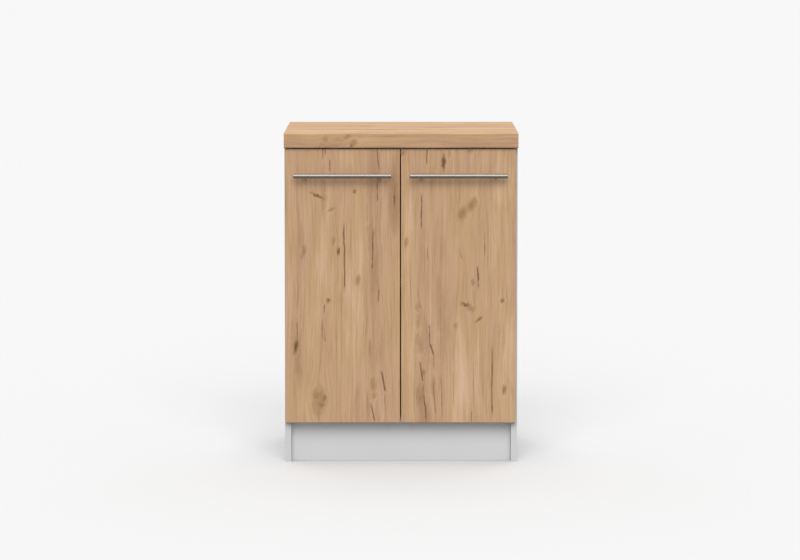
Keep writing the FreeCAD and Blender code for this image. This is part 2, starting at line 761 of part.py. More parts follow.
def hingeArm():
    """A sheet channel, open towards the side panel, cranked over the cup to its two link pins."""
    arm = hingeBody("hinge_arm")
    cheek = [
        ("arm_cheek_base_x", "arm_tail_y"),
        ("arm_cheek_base_x", "plate_front_y"),
        ("arm_throat_x", "arm_throat_y"),
        ("inner_arm_pivot_x - arm_nose_radius", "cup_lip_thickness"),
        ("inner_arm_pivot_x - arm_nose_radius", "inner_arm_pivot_y"),
        ("inner_arm_pivot_x + arm_nose_radius", "inner_arm_pivot_y"),
        ("inner_arm_pivot_x + arm_nose_radius", "outer_arm_pivot_y - arm_nose_radius"),
        ("outer_arm_pivot_x", "outer_arm_pivot_y - arm_nose_radius"),
        ("arm_high_x", "outer_arm_pivot_y"),
        ("arm_high_x", "arm_shoulder_y"),
        ("arm_low_x", "arm_crank_y"),
        ("arm_low_x", "arm_tail_y"),
    ]
    thickness = "2 * arm_half_height"
    pad(arm, sketch(arm, "XY", loops=[cheek]), thickness, middle=True)
    noses = [(pivot + "_x", pivot + "_y", "arm_nose_radius") for pivot in ("inner_arm_pivot", "outer_arm_pivot")]
    for nose in noses:
        pad(arm, sketch(arm, "XY", circles=[nose]), thickness, middle=True)
    beyond = "arm_high_x + cut_overrun"
    room = [
        ("-cut_overrun", "arm_tail_y + cut_overrun"),
        ("-cut_overrun", "inner_arm_pivot_y - arm_nose_radius - cut_overrun"),
        (beyond, "inner_arm_pivot_y - arm_nose_radius - cut_overrun"),
        (beyond, "arm_web_front_y"),
        ("arm_high_x - arm_sheet", "arm_web_front_y"),
        ("arm_high_x - arm_sheet", "arm_shoulder_y - arm_sheet / 2"),
        ("plate_ridge_height", "arm_crank_y - arm_sheet / 2"),
        ("plate_ridge_height", "arm_tail_y + cut_overrun"),
    ]
    pocket(arm, sketch(arm, "XY", loops=[room]), "2 * arm_inner_half", middle=True)
    pins = [(pivot + "_x", pivot + "_y", "pin_hole") for pivot in ("inner_arm_pivot", "outer_arm_pivot")]
    pocket(arm, sketch(arm, "XY", circles=pins), thickness, middle=True)
    screwHoles = [("arm_screw_y", "0", "arm_screw_radius + hole_play"),
                  ("adjuster_y", "0", "adjuster_radius + hole_play")]
    pocket(arm, sketch(arm, "YZ", "arm_low_x", circles=screwHoles), "arm_sheet + hole_play")
    return arm


def linkBody(name, run, height, eyes):
    """A bent sheet link with an eye at each end; run holds its points' names."""
    link = hingeBody(name)
    below = [(point + "_x", point + "_y - link_half_thickness") for point in run]
    above = [(point + "_x", point + "_y + link_half_thickness") for point in run]
    pad(link, sketch(link, "XY", loops=[below + above[::-1]]), height, middle=True)
    for eye in eyes:
        pad(link, sketch(link, "XY", circles=[eye]), height, middle=True)
    return link


def innerLink():
    ends = ("inner_cup_pivot", "inner_arm_pivot")
    height = "2 * inner_link_half_height"
    link = linkBody("inner_link", (ends[0], "inner_knee", ends[1]), height,
                    [(end + "_x", end + "_y", "link_eye_radius") for end in ends])
    holes = [(end + "_x", end + "_y", "eye_hole") for end in ends]
    pocket(link, sketch(link, "XY", circles=holes), height, middle=True)
    return link


def outerLink():
    """Two cheeks astride the inner link, joined at the arm by a barrel. The barrel has a slot,
    because its pin is the linkage's open pivot."""
    slotEnds = [("outer_arm_pivot_x + slot_dx * (%d)" % way, "outer_arm_pivot_y + slot_dy * (%d)" % way)
                for way in (-1, 1)]
    height = "2 * outer_link_half_height"
    link = linkBody("outer_link", ("outer_cup_pivot", "outer_dip", "outer_rise", "outer_arm_pivot"), height,
                    [("outer_cup_pivot_x", "outer_cup_pivot_y", "link_eye_radius")]
                    + [(x, y, "slot_hole + link_eye_radius - eye_hole") for x, y in slotEnds])
    room = rectangle("outer_cup_pivot_x - link_eye_radius - cut_overrun", "outer_arm_pivot_x - outer_link_room_end",
                     "outer_cup_pivot_y - link_eye_radius - cut_overrun", "outer_arm_pivot_y + cut_overrun")
    pocket(link, sketch(link, "XY", loops=[room]), "2 * outer_link_room_half", middle=True)
    pocket(link, sketch(link, "XY", circles=[("outer_cup_pivot_x", "outer_cup_pivot_y", "eye_hole")]),
           height, middle=True)
    bridge = [(x, y + " - slot_hole") for x, y in slotEnds] + [(x, y + " + slot_hole") for x, y in slotEnds[::-1]]
    pocket(link, sketch(link, "XY", loops=[bridge]), height, middle=True)
    for x, y in slotEnds:
        pocket(link, sketch(link, "XY", circles=[(x, y, "slot_hole")]), height, middle=True)
    return link


def hingeCup():
    cup = hingeBody("hinge_cup")
    pad(cup, sketch(cup, "XZ", circles=[("cup_x", "0", "cup_radius")]), "cup_depth")
    pad(cup, sketch(cup, "XZ", circles=[("cup_x", "0", "cup_radius + cup_lip")]), "cup_lip_thickness", back=True)
    for way in (-1, 1):
        ends = ["%s * (%d)" % (end, way) for end in ("cup_wing_start", "cup_wing_end")]
        wing = rectangle("cup_x + cup_wing_near", "cup_x + cup_wing_far", *ends)
        pad(cup, sketch(cup, "XZ", loops=[wing]), "cup_wing_thickness", back=True)
    end = (number("cup_wing_end") + number("cup_radius")) / 2
    dress(cup, "Fillet", "cup_wing_corner", "y", lambda point: abs(point.z) > end)
    room = rectangle("cup_x - cup_room_near", "cup_x + cup_room_far",
                     "-cup_room_half_height", "cup_room_half_height")
    pocket(cup, sketch(cup, "XZ", "-cup_lip_thickness - cut_overrun", loops=[room]),
           "cup_depth - cup_floor + cup_lip_thickness + cut_overrun", back=True)
    slopeX = "cup_x - cup_room_near"
    slope = [(slopeX, "-cup_slope_depth"), (slopeX, "cup_lip_thickness + cut_overrun"),
             (slopeX + " - cup_slope_width", "cup_lip_thickness + cut_overrun"),
             (slopeX + " - cup_slope_width", "cup_lip_thickness")]
    pocket(cup, sketch(cup, "XY", loops=[slope]), "2 * cup_slope_half_height", middle=True)
    pins = [(pivot + "_x", pivot + "_y", "pin_hole") for pivot in ("inner_cup_pivot", "outer_cup_pivot")]
    pocket(cup, sketch(cup, "XY", circles=pins), "2 * cup_pin_end", middle=True)
    screws = [("cup_screw_at_x", "cup_screw_z * (%d)" % way, "board_screw_radius + hole_play") for way in (-1, 1)]
    pocket(cup, sketch(cup, "XZ", "-cup_wing_thickness - cut_overrun", circles=screws),
           "cup_wing_thickness + cut_overrun", back=True)
    return cup


def hingePin(pivot, low, high):
    return rod(pivot + "_pin", "link_pin_radius", "z", ("-inner_x + %s_x" % pivot, "door_back_y + %s_y" % pivot),
               "hinge_top_z + (%s)" % low, "hinge_top_z + (%s)" % high)


def cupPins():
    """One pin through the inner link, and a stub at each side for the outer link's cheeks."""
    return group("cup_pins", [
        hingePin("inner_cup_pivot", "-cup_pin_end", "cup_pin_end"),
        hingePin("outer_cup_pivot", "-cup_pin_end", "-outer_link_room_half"),
        hingePin("outer_cup_pivot", "outer_link_room_half", "cup_pin_end")])


def armPins():
    return group("arm_pins", [hingePin(pivot, "-arm_half_height", "arm_half_height")
                              for pivot in ("inner_arm_pivot", "outer_arm_pivot")])


def closingSpring():
    """A leaf under the arm's web that bears on the outer link's back."""
    spring = hingeBody("closing_spring")
    backX = "arm_high_x - arm_sheet"
    tipY = "outer_rise_y + link_half_thickness + spring_seat_play"
    leaf = [
        (backX, "arm_web_front_y"),
        (backX, "arm_shoulder_y - arm_sheet"),
        (backX + " - spring_sheet", "arm_shoulder_y - arm_sheet"),
        (backX + " - spring_sheet", "arm_web_front_y + spring_sheet"),
        ("outer_rise_x", tipY + " + spring_sheet"),
        ("outer_rise_x", tipY),
    ]
    pad(spring, sketch(spring, "XY", loops=[leaf]), "2 * spring_half_height", middle=True)
    return spring


hingeMakers = {
    "hinge_plates": hingePlate,
    "hinge_arms": hingeArm,
    "hinge_springs": closingSpring,
    "inner_links": innerLink,
    "outer_links": outerLink,
    "hinge_cups": hingeCup,
    "arm_pins": armPins,
    "cup_pins": cupPins,
    "cup_screws": lambda: group("cup_screw_pair", [screw(
        "cup_screw_%d" % (way + 1), "board_screw", "y",
        ("-inner_x + cup_screw_at_x", "hinge_top_z + cup_screw_z * (%d)" % way),
        "door_back_y + cup_wing_thickness", "board_screw_depth + cup_wing_thickness", -1) for way in (-1, 1)]),
}
for title, make in hingeMakers.items():
    pair = node("left_" + title, both("left_" + title, make()))
    node("right_" + title, mirror("right_" + title, pair, "x"))

plateScrew = group("plate_screw_pair", [screw(
    "plate_screw_%d" % (way + 1), "plate_screw", "x",
    ("door_back_y + plate_y", "hinge_top_z + plate_screw_z * (%d)" % way),
    "-inner_x + plate_wing_thickness", "plate_screw_depth + plate_wing_thickness", -1) for way in (-1, 1)])
armScrew = screw("arm_screw", "arm_screw", "x", ("door_back_y + arm_screw_y", "hinge_top_z"),
                 "-inner_x + arm_low_x", "arm_sheet + arm_screw_depth", -1)
adjusterAt = ("door_back_y + adjuster_y", "hinge_top_z")
adjusterTop = "-inner_x + plate_ridge_height + adjuster_height"
adjuster = cut("adjuster", rod("adjuster_shank", "adjuster_radius", "x", adjusterAt,
                               "-inner_x + plate_ridge_height", adjusterTop),
               [crossRecess("adjuster_drive", "x", adjusterAt, adjusterTop + " - recess_depth", adjusterTop)])
for title, item in (("hinge_plate_screws", plateScrew), ("hinge_arm_screws", armScrew),
                    ("hinge_adjusters", adjuster)):
    pair = both("left_" + title, item)
    node(title, group(title, [pair, mirror("right_" + title, pair, "x")]))


# Doors: a board with an edge band all round, bored for two hinge cups

def door(side):
    """side is -1 at the left and 1 at the right."""
    name = "left" if side < 0 else "right"
    middle = "door_shift + door_middle_x * (%d)" % side
    ends = [middle + " - door_width / 2", middle + " + door_width / 2"]
    core = [ends[0] + " + edge_band", ends[1] + " - edge_band"]
    low, high = "door_bottom_z + edge_band", "door_top_z - edge_band"
    hingeZ = ("hinge_top_z", "hinge_low_z")
    cupX = "(inner_x - cup_x) * (%d)" % side
    screwX = "(inner_x - cup_screw_at_x) * (%d)" % side
    handleX = [middle + " + handle_post_spacing / 2 * (%d)" % way for way in (-1, 1)]

    panel = body(name + "_door_panel")
    plane = "-(door_back_y)"
    pad(panel, sketch(panel, "XZ", plane, loops=[rectangle(*core, low, high)]), "door_thickness")
    bores = [(cupX, z, "cup_radius + cup_bore_play") for z in hingeZ]
    pocket(panel, sketch(panel, "XZ", plane, circles=bores), "cup_depth + cup_bore_end_play", back=True)
    cupScrews = [(screwX, z + " + cup_screw_z * (%d)" % way, "board_screw_radius + hole_play")
                 for z in hingeZ for way in (-1, 1)]
    pocket(panel, sketch(panel, "XZ", plane, circles=cupScrews), "board_screw_depth + dowel_end_play", back=True)
    handleScrews = [(x, "handle_z", "board_screw_radius + hole_play") for x in handleX]
    pocket(panel, sketch(panel, "XZ", plane, circles=handleScrews), "door_thickness", back=True)
    node(name + "_door_panel", panel)

    depth = ("door_front_y", "door_back_y")
    node(name + "_door_edge_bands", group(name + "_door_edge_bands", [
        block(name + "_band_hinge", (ends[0], core[0]), depth, (low, high)),
        block(name + "_band_free", (core[1], ends[1]), depth, (low, high)),
        block(name + "_band_bottom", tuple(ends), depth, ("door_bottom_z", low)),
        block(name + "_band_top", tuple(ends), depth, (high, "door_top_z"))]))

    bar = body(name + "_handle_bar", middle, "handle_y", "handle_z")
    pad(bar, sketch(bar, "YZ", circles=[("0", "0", "handle_radius")]), "handle_length", middle=True)
    rim = number("handle_length") / 2 - number("handle_chamfer")
    dress(bar, "Chamfer", "handle_chamfer", "x", lambda point: abs(point.x) > rim)
    node(name + "_handle_bar", bar)

    posts = group(name + "_post_rods", [
        rod("%s_post_rod_%d" % (name, k), "handle_post_radius", "y", (x, "handle_z"), "handle_y", "door_front_y")
        for k, x in enumerate(handleX)])
    seat = rod(name + "_post_seat", "handle_radius + handle_seat_play", "x", ("handle_y", "handle_z"),
               middle + " - handle_length / 2", middle + " + handle_length / 2")
    threads = [bore("%s_post_thread_%d" % (name, k), "board_screw_radius + hole_play", "y", (x, "handle_z"),
                    "door_front_y", "handle_screw_reach + dowel_end_play", -1) for k, x in enumerate(handleX)]
    node(name + "_handle_posts", cut(name + "_handle_posts", posts, [seat] + threads))
    node(name + "_handle_screws", group(name + "_handle_screws", [
        screw("%s_handle_screw_%d" % (name, k), "board_screw", "y", (x, "handle_z"), "door_back_y",
              "door_thickness + handle_screw_reach", -1) for k, x in enumerate(handleX)]))

    free = "door_shift + (door_middle_gap / 2 + bumper_inset) * (%d)" % side
    node(name + "_door_bumpers", group(name + "_door_bumpers", [
        rod("%s_bumper_%s" % (name, tag), "bumper_radius", "y", (free, z), "door_back_y",
            "door_back_y + bumper_thickness")
        for tag, z in (("low", "door_bottom_z + bumper_edge_distance"),
                       ("high", "door_top_z - bumper_edge_distance"))]))


for side in (-1, 1):
    door(side)

doc.recompute()
for item in doc.Objects:
    if "Invalid" in item.State or "Error" in item.State:
        raise ValueError("%s is %s" % (item.Name, item.State))
for item in nodes:
    if item.Shape.isNull() or not item.Shape.isValid() or not item.Shape.Solids:
        raise ValueError(item.Label + " has no valid shape")

os.makedirs("parts", exist_ok=True)
for item in nodes:
    item.Shape.exportStep(os.path.join("parts", item.Label + ".step"))
print(len(nodes), "nodes")
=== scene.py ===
import json
import math

import bmesh
import bpy
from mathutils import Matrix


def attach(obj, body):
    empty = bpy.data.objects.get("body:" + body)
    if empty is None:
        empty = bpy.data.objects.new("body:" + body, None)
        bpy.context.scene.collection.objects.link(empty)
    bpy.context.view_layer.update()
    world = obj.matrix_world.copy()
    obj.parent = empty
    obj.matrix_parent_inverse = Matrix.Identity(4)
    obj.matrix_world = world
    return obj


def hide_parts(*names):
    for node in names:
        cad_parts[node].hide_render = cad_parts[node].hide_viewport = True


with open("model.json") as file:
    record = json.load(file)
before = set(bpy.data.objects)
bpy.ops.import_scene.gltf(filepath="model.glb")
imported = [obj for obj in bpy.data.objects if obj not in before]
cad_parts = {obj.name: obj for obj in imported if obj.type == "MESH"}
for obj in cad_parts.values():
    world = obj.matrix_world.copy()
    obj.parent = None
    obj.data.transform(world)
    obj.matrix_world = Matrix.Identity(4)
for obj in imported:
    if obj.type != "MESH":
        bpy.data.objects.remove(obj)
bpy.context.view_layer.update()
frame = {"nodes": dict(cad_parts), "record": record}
nodes = frame["nodes"]
bodyOf = {name: body for body, names in frame["record"]["behaviour"]["bodies"].items() for name in names}
print("frame loaded:", len(nodes), "nodes")


# Node building

# sRGB in 0-255 to the shader's linear colour
def linear(red, green, blue):
    def channel(value):
        value = value / 255
        return value / 12.92 if value <= 0.04045 else ((value + 0.055) / 1.055) ** 2.4
    return (channel(red), channel(green), channel(blue), 1.0)


# A socket's output in an expression: each operator adds its node
class Signal:
    def __init__(self, tree, socket):
        self.tree = tree
        self.socket = socket

    def operate(self, operation, *values):
        vector = any(
            isinstance(value, tuple) or (isinstance(value, Signal) and value.socket.type == "VECTOR")
            for value in values)
        kind = "ShaderNodeVectorMath" if vector else "ShaderNodeMath"
        if vector:
            values = [(value,) * 3 if isinstance(value, (int, float)) else value for value in values]
        return self.tree.add(kind, {"operation": operation}, dict(enumerate(values))).first()

    def __add__(self, other):
        return self.operate("ADD", self, other)

    def __radd__(self, other):
        return self.operate("ADD", other, self)

    def __sub__(self, other):
        return self.operate("SUBTRACT", self, other)

    def __rsub__(self, other):
        return self.operate("SUBTRACT", other, self)

    def __mul__(self, other):
        return self.operate("MULTIPLY", self, other)

    def __rmul__(self, other):
        return self.operate("MULTIPLY", other, self)

    def __truediv__(self, other):
        return self.operate("DIVIDE", self, other)

    def __abs__(self):
        return self.operate("ABSOLUTE", self)

    def above(self, other):
        return self.operate("MAXIMUM", self, other)

    def below(self, other):
        return self.operate("MINIMUM", self, other)

    # A vector's three parts added together
    def sum(self):
        return self.tree.add("ShaderNodeVectorMath", {"operation": "DOT_PRODUCT"},
                             {0: self, 1: (1, 1, 1)}).output("Value")

    def part(self, letter):
        return self.tree.add("ShaderNodeSeparateXYZ", {}, {0: self}).output(letter)

    # The largest of a vector's three parts
    def highest(self):
        parts = self.tree.add("ShaderNodeSeparateXYZ", {}, {0: self})
        return parts.output("X").above(parts.output("Y")).above(parts.output("Z"))

    # 0 below low, 1 above high, smooth between
    def step(self, low, high):
        return self.tree.add("ShaderNodeMapRange", {"interpolation_type": "SMOOTHSTEP"},
                             {"Value": self, "From Min": low, "From Max": high}).output("Result")


# A node that has been added
class Placed:
    def __init__(self, tree, node):
        self.tree = tree
        self.node = node

    def output(self, name):
        return Signal(self.tree, self.node.outputs[name])

    def first(self):
        return Signal(self.tree, next(out for out in self.node.outputs if out.enabled))


# A node tree under construction
class Tree:
    def __init__(self, nodeTree):
        self.nodeTree = nodeTree
        self.nodeTree.nodes.clear()

    # A list of signals goes into a socket that takes several
    def join(self, socket, value):
        if isinstance(value, list):
            for signal in value:
                self.nodeTree.links.new(signal.socket, socket)
        elif isinstance(value, Signal):
            self.nodeTree.links.new(value.socket, socket)
        else:
            socket.default_value = value

    def add(self, kind, settings=None, sockets=None):
        node = self.nodeTree.nodes.new(kind)
        for name, value in (settings or {}).items():
            if name == "stops":
                ramp = node.color_ramp
                while len(ramp.elements) > 1:
                    ramp.elements.remove(ramp.elements[-1])
                for place, (at, colour) in enumerate(value):
                    stop = ramp.elements[0] if place == 0 else ramp.elements.new(at)
                    stop.position = at
                    stop.color = colour
            else:
                setattr(node, name, value)
        for name, value in (sockets or {}).items():
            self.join(node.inputs[name], value)
        return Placed(self, node)

    def vector(self, x, y, z):
        return self.add("ShaderNodeCombineXYZ", {}, {"X": x, "Y": y, "Z": z}).output("Vector")

    # One number in all three parts
    def threefold(self, value):
        return self.vector(value, value, value)


# A material's tree
class Finish(Tree):
    def __init__(self, name):
        self.material = bpy.data.materials.new(name)
        self.material.use_nodes = True
        super().__init__(self.material.node_tree)

    def place(self):
        return self.add("ShaderNodeTexCoord").output("Object")

    def noise(self, at, scale=1.0, detail=2.0, roughness=0.5):
        return self.add("ShaderNodeTexNoise", {}, {
            "Vector": at, "Scale": scale, "Detail": detail, "Roughness": roughness}).output("Fac")

    # The Mix node's colours are its inputs 6 and 7 and its output 2
    def blend(self, factor, low, high):
        mixed = self.add("ShaderNodeMix", {"data_type": "RGBA"}, {"Factor": factor, 6: low, 7: high})
        return Signal(self, mixed.node.outputs[2])

    def ramp(self, factor, stops):
        return self.add("ShaderNodeValToRGB", {"stops": stops}, {"Fac": factor}).output("Color")

    def bump(self, height, distance):
        return self.add("ShaderNodeBump", {}, {
            "Height": height, "Distance": distance, "Strength": 1.0}).output("Normal")

    def surface(self, **sockets):
        names = {"colour": "Base Color", "roughness": "Roughness", "metallic": "Metallic",
                 "normal": "Normal", "specular": "Specular IOR Level"}
        shader = self.add("ShaderNodeBsdfPrincipled", {}, {
            names[key]: value for key, value in sockets.items()})
        self.add("ShaderNodeOutputMaterial", {}, {"Surface": shader.output("BSDF")})
        return self.material


# Rows of numbers, three at a time, as one vector for each column
def triples(rows):
    for start in range(0, len(rows), 3):
        chosen = list(rows[start:start + 3])
        while len(chosen) < 3:
            chosen.append(chosen[-1])
        yield [tuple(column) for column in zip(*chosen)]


# Golden oak decor. Marks are in millimetres on the part: across the grain, along it.

oak = {  # colours, widths in millimetres across the grain, and how strongly each feature shows
    "cream": linear(218, 182, 151),
    "pink": linear(198, 160, 128),
    "honey": linear(197, 161, 121),
    "tan": linear(172, 136, 102),
    "brown": linear(158, 120, 86),
    "pore": linear(142, 106, 73),
    "knotRing": linear(150, 115, 78),
    "knotCore": linear(100, 70, 42),
    "crackSide": linear(154, 116, 84),
    "crack": linear(112, 77, 51),
    # edge: the door edge band's colour, darker and browner than the face: partly the band's own tone,
    # partly painted shade for the gaps between the doors and under the worktop
    "edge": linear(165, 115, 72),
    "boardWidth": 52,
    "bandWidth": 62,
    "streakWidth": 6.5,
    "fineWidth": 1.9,
    "linedWidth": 30,
    "poreWidth": 0.9,
    "grainWander": 24,
    "frayWidth": 7.6923,
    "fray": 15,
    "crackWander": 6,
    "broadShare": 0.6,
    "freeShare": 0.55,
    "freeLift": 0.19,
    "poreShow": 0.3,
    "knotRingShow": 0.7,
    "knotCoreShow": 0.8,
    "crackSideShow": 0.55,
    "crackShow": 0.8,
    "edgeShadeShow": 0.5,
    "roughness": 0.6,
    "specular": 0.2,
    "worktopSpecular": 0.02,
    "relief": 0.0002,
}


# A mask that is 1 in the middle of an oval and 0 at its rim, for three ovals at a time.
# Each is (across, along, half length, half width, lean, strength), lean in degrees from the grain.
def knotMasks(acrossThree, alongThree, rows):
    tone = None
    push = None
    for x, z, halfLong, halfWide, lean, strength in triples(rows):
        right = acrossThree - x
        up = alongThree - z
        turn = [math.radians(angle) for angle in lean]
        sines = tuple(math.sin(angle) for angle in turn)
        cosines = tuple(math.cos(angle) for angle in turn)
        reach = (up * cosines + right * sines) / halfLong
        beside = (right * cosines - up * sines) / halfWide
        far = reach * reach + beside * beside
        mask = (1.0 - far * 0.25).above(0.0) * strength
        tone = mask if tone is None else tone.above(mask)
        near = (1.0 - far * 0.06).above(0.0)
        shift = (beside * near * near * tuple(0.7 * value for value in halfWide)).sum()
        push = shift if push is None else push + shift
    return tone.highest(), push


# The same for bands along the grain, (across, along, half length, half width, strength)
def bandMask(acrossThree, alongThree, rows):
    tone = None
    for x, z, halfLong, halfWide, strength in triples(rows):
        reach = (alongThree - z) / halfLong
        beside = (acrossThree - x) / halfWide
        mask = (1.0 - (reach * reach + beside * beside) * 0.25).above(0.0) * strength
        tone = mask if tone is None else tone.above(mask)
    return tone.highest()


# A mask for narrow cracks, (across, along, half length, lean, half width, strength)
def crackMask(acrossThree, alongThree, rows):
    tone = None
    for x, z, half, lean, width, strength in triples(rows):
        beside = alongThree - z
        reach = beside / half
        line = abs(acrossThree - x - beside * lean)
        ends = (1.0 - reach * reach) * 1.5
        mask = (1.0 - line / width * 0.5).below(ends).above(0.0) * strength
        tone = mask if tone is None else tone.above(mask)
    return tone.highest()


# A noise drawn out along the grain: widths in millimetres across it, stretch along it
def grained(finish, across, along, width, stretch, seed, detail, roughness=0.5):
    return finish.noise(finish.vector(across / width, along * stretch, seed), 1.0, detail, roughness)


# Colour and height of the decor, from coordinates in millimetres
def oakDecor(finish, across, along, marks, seed):
    ragged = grained(finish, across, along, oak["frayWidth"], 0.07, seed, 4.0, 0.65) - 0.5
    frayedAcross = finish.threefold(across + ragged * oak["fray"])
    frayedAlong = finish.threefold(along + ragged * oak["fray"])
    alongThree = finish.threefold(along)
    knotTone, push = knotMasks(frayedAcross, frayedAlong, marks["knots"])
    wander = grained(finish, across, along, 250.0, 0.003, seed, 2.0) - 0.5
    grain = across - push + wander * oak["grainWander"]
    boards = finish.add("ShaderNodeTexVoronoi", {"voronoi_dimensions": "1D", "feature": "SMOOTH_F1"}, {
        "W": grain / oak["boardWidth"] + seed, "Scale": 1.0, "Smoothness": 0.12}).output("Color")
    broad = grained(finish, grain, along, oak["bandWidth"], 0.0034, seed + 3.1, 3.0, 0.6)
    streak = grained(finish, grain, along, oak["streakWidth"], 0.004, seed + 1.3, 3.0, 0.6)
    fine = grained(finish, grain, along, oak["fineWidth"], 0.008, seed + 5.9, 2.0, 0.65)
    lined = grained(finish, grain, along, oak["linedWidth"], 0.006, seed + 6.6, 1.0)
    pores = grained(finish, grain, along, oak["poreWidth"], 0.03, seed + 9.4, 1.0)

    tone = broad.step(0.34, 0.66) * oak["broadShare"] + boards.part("X") * (1 - oak["broadShare"])
    if "light" in marks:  # placed bands leave the free figure its share
        light, shade = (bandMask(frayedAcross, alongThree, marks[kind]) for kind in ("light", "shade"))
        tone = tone * oak["freeShare"] + oak["freeLift"] + (light - shade) * (0.2 + streak)
    colour = finish.ramp(tone, [
        (0.0, oak["tan"]), (0.3, oak["pink"]), (0.55, oak["honey"]), (1.0, oak["cream"])])
    poreMask = pores.step(0.36, 0.22)
    for mask, name in (
            (boards.part("Y").step(0.55, 0.95) * 0.5, "pink"),
            (streak.step(0.5, 0.28) * 0.5, "tan"),
            (streak.step(0.36, 0.2) * 0.5, "brown"),
            (streak.step(0.52, 0.74) * 0.5, "cream"),
            (fine.step(0.5, 0.3) * (0.14 + lined.step(0.42, 0.6) * 0.5), "brown"),
            (poreMask * oak["poreShow"], "pore"),
            (knotTone.step(0.0, 0.8) * oak["knotRingShow"], "knotRing"),
            (knotTone.step(0.6, 1.05) * oak["knotCoreShow"], "knotCore")):
        colour = finish.blend(mask, colour, oak[name])

    wave = grained(finish, across, along, 100.0, 0.02, seed + 2.2, 3.0) - 0.5
    wavy = finish.threefold(across + wave * oak["crackWander"])
    broken = grained(finish, across, along, 20.0, 0.045, seed + 7.7, 3.0, 0.6)
    crackTone = crackMask(wavy, alongThree, marks["cracks"]) * (0.3 + broken * 1.35)
    crackCore = crackTone.step(0.42, 0.85)
    colour = finish.blend(crackTone.step(0.0, 0.7) * oak["crackSideShow"], colour, oak["crackSide"])
    colour = finish.blend(crackCore * oak["crackShow"], colour, oak["crack"])
    height = 1.0 - poreMask * 0.3 - crackCore * 0.7 + (fine - 0.5) * 0.35
    return colour, height


# Doors: light and shade bands as (across, along, half length, half width, strength),
# knots as (across, along, half length, half width, lean, strength),
# cracks as (across, along, half length, lean, half width, strength)

